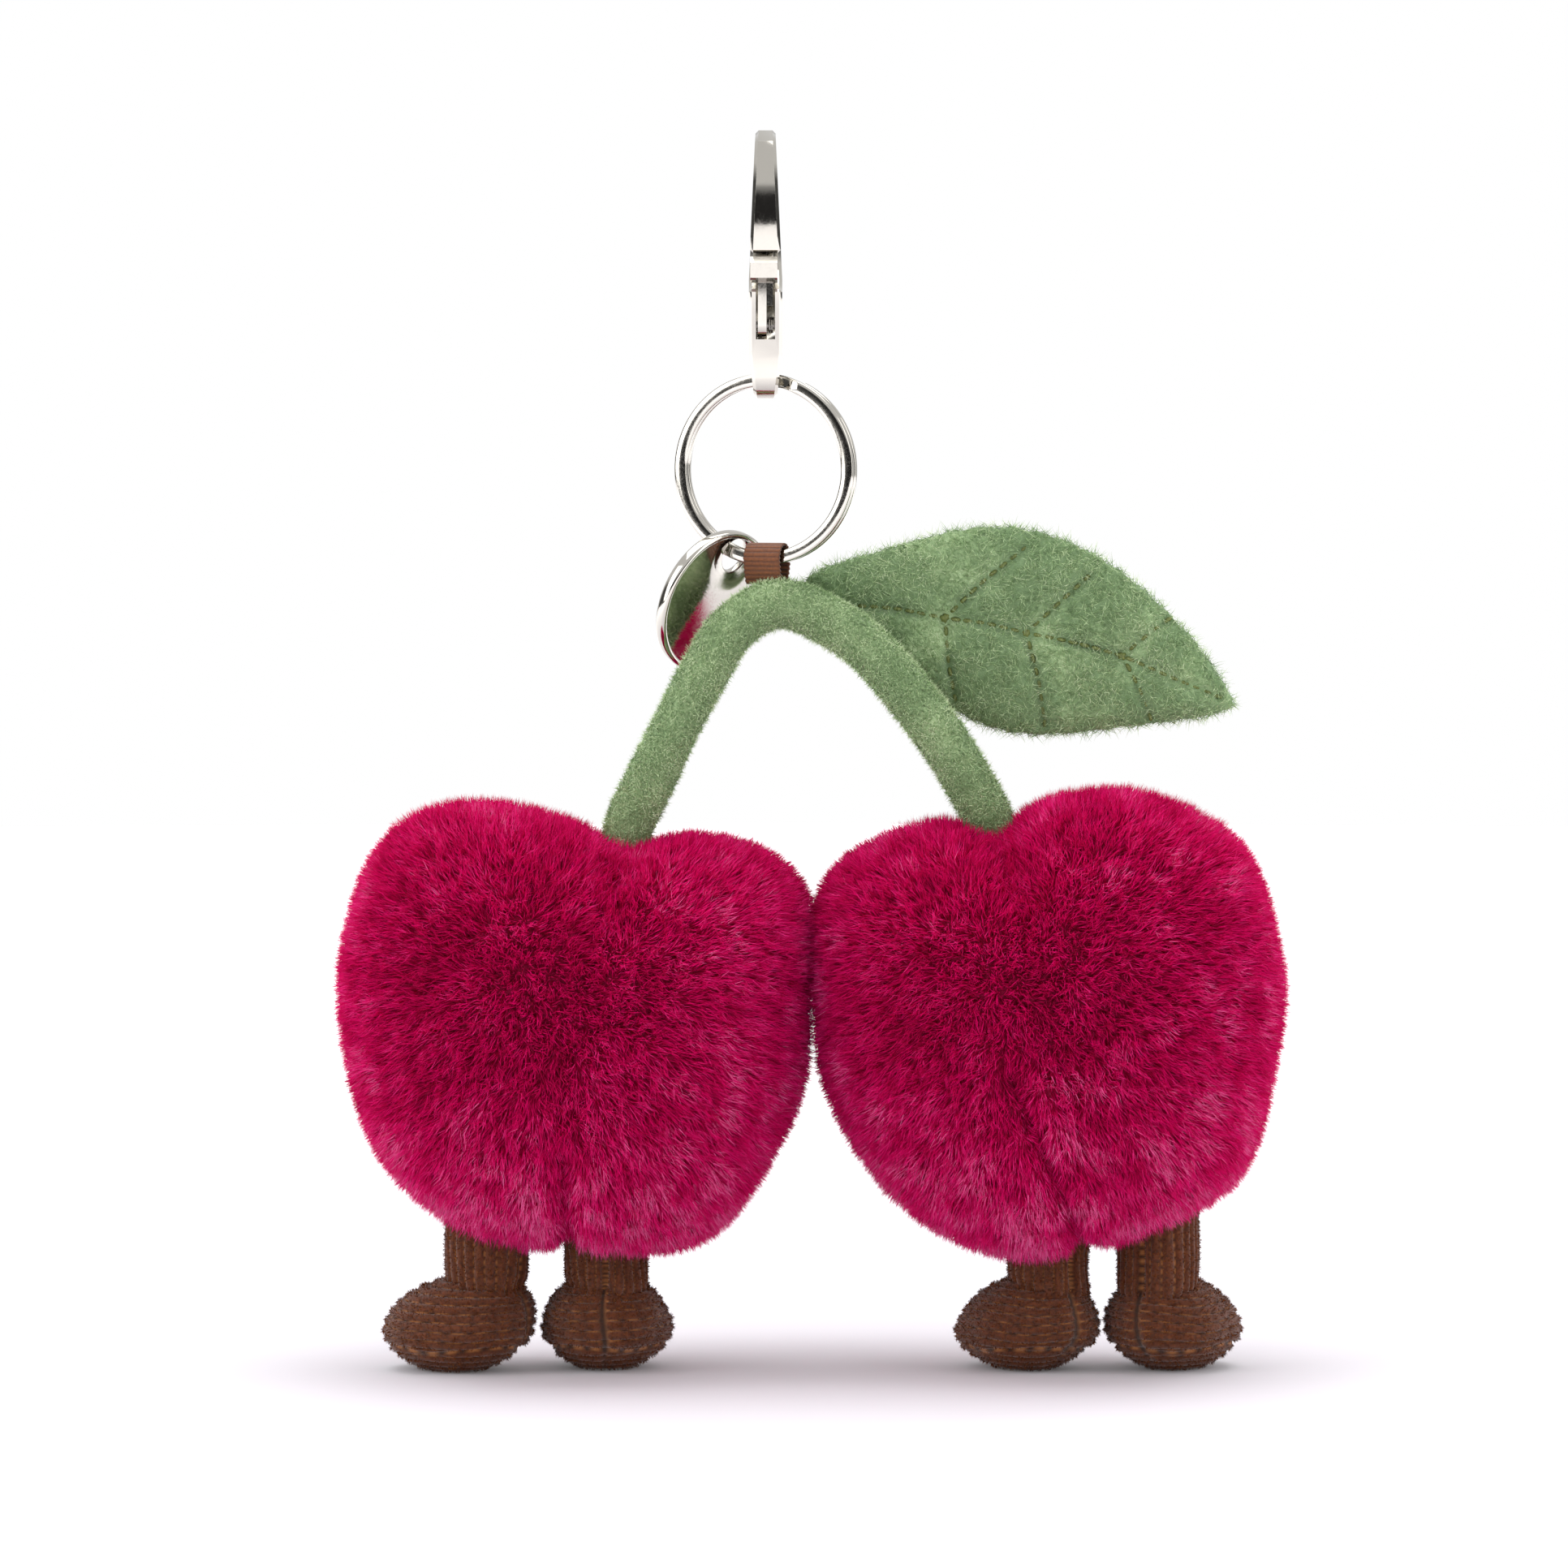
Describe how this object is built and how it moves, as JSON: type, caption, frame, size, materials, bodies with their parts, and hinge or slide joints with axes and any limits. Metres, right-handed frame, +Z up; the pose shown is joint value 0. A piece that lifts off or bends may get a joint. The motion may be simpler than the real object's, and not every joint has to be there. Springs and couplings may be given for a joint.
{
  "type": "plush cherry bag charm",
  "caption": "Plush bag charm: a pair of soft pile cherries with corduroy legs on a bent felt stalk with a leaf, hung from a lobster clasp, split ring and ribbon loop.",
  "frame": {"origin": "the inside top of the clasp's hook, where the charm hangs", "axes": "+X to the right and +Y away from the viewer as the plain back is seen, +Z up; the clasp's side outline lies in the YZ plane"},
  "size_m": [0.1388, 0.056, 0.1818],
  "materials": {
    "polished_nickel": "polished nickel plate on die-cast zinc",
    "spring_steel": "plain drawn steel",
    "brown_ribbon": "woven grosgrain ribbon with cross ribs",
    "green_felt": "brushed felt with a short fuzzy nap",
    "crimson_pile": "dense short plush pile",
    "brown_corduroy": "fine-wale corduroy",
    "wadding": "loose polyester fibre filling"
  },
  "bodies": {
    "clasp": {"clasp_body": "polished_nickel", "clasp_pin": "spring_steel", "clasp_spring": "spring_steel"},
    "gate": {"clasp_gate": "polished_nickel"},
    "ring": {"split_ring": "polished_nickel"},
    "plush": {"ribbon_loop": "brown_ribbon", "stalk_cover": "green_felt", "stalk_core": "wadding", "leaf_front": "green_felt", "leaf_back": "green_felt", "leaf_wadding": "wadding", "cherry_left_cover": "crimson_pile", "cherry_left_stuffing": "wadding", "cherry_right_cover": "crimson_pile", "cherry_right_stuffing": "wadding", "leg_1_foot_upper": "brown_corduroy", "leg_1_sole": "brown_corduroy", "leg_1_tube": "brown_corduroy", "leg_1_stuffing": "wadding", "leg_2_foot_upper": "brown_corduroy", "leg_2_sole": "brown_corduroy", "leg_2_tube": "brown_corduroy", "leg_2_stuffing": "wadding", "leg_3_foot_upper": "brown_corduroy", "leg_3_sole": "brown_corduroy", "leg_3_tube": "brown_corduroy", "leg_3_stuffing": "wadding", "leg_4_foot_upper": "brown_corduroy", "leg_4_sole": "brown_corduroy", "leg_4_tube": "brown_corduroy", "leg_4_stuffing": "wadding"},
    "tag": {"tag_disc": "polished_nickel"}
  },
  "joints": [
    {"name": "gate_hinge", "type": "hinge", "parent": "clasp", "child": "gate", "pos_m": [0, -0.0036, -0.0259], "axis": [-1, 0, 0], "range_deg": [0, 26], "stiffness_Nm_per_rad": 0.02, "springref_deg": -22.92},
    {"name": "ring_swing", "type": "hinge", "parent": "clasp", "child": "ring", "pos_m": [0, 0, -0.03395], "axis": [0.9336, -0.3584, 0], "range_deg": [-75, 75]},
    {"name": "plush_swing", "type": "hinge", "parent": "ring", "child": "plush", "pos_m": [0, 0, -0.06005], "axis": [0.9336, -0.3584, 0], "range_deg": [-20, 45]},
    {"name": "tag_swing", "type": "hinge", "parent": "plush", "child": "tag", "pos_m": [-0.0049, 0.00188, -0.05945], "axis": [0.9336, -0.3584, 0], "range_deg": [0, 30]}
  ]
}
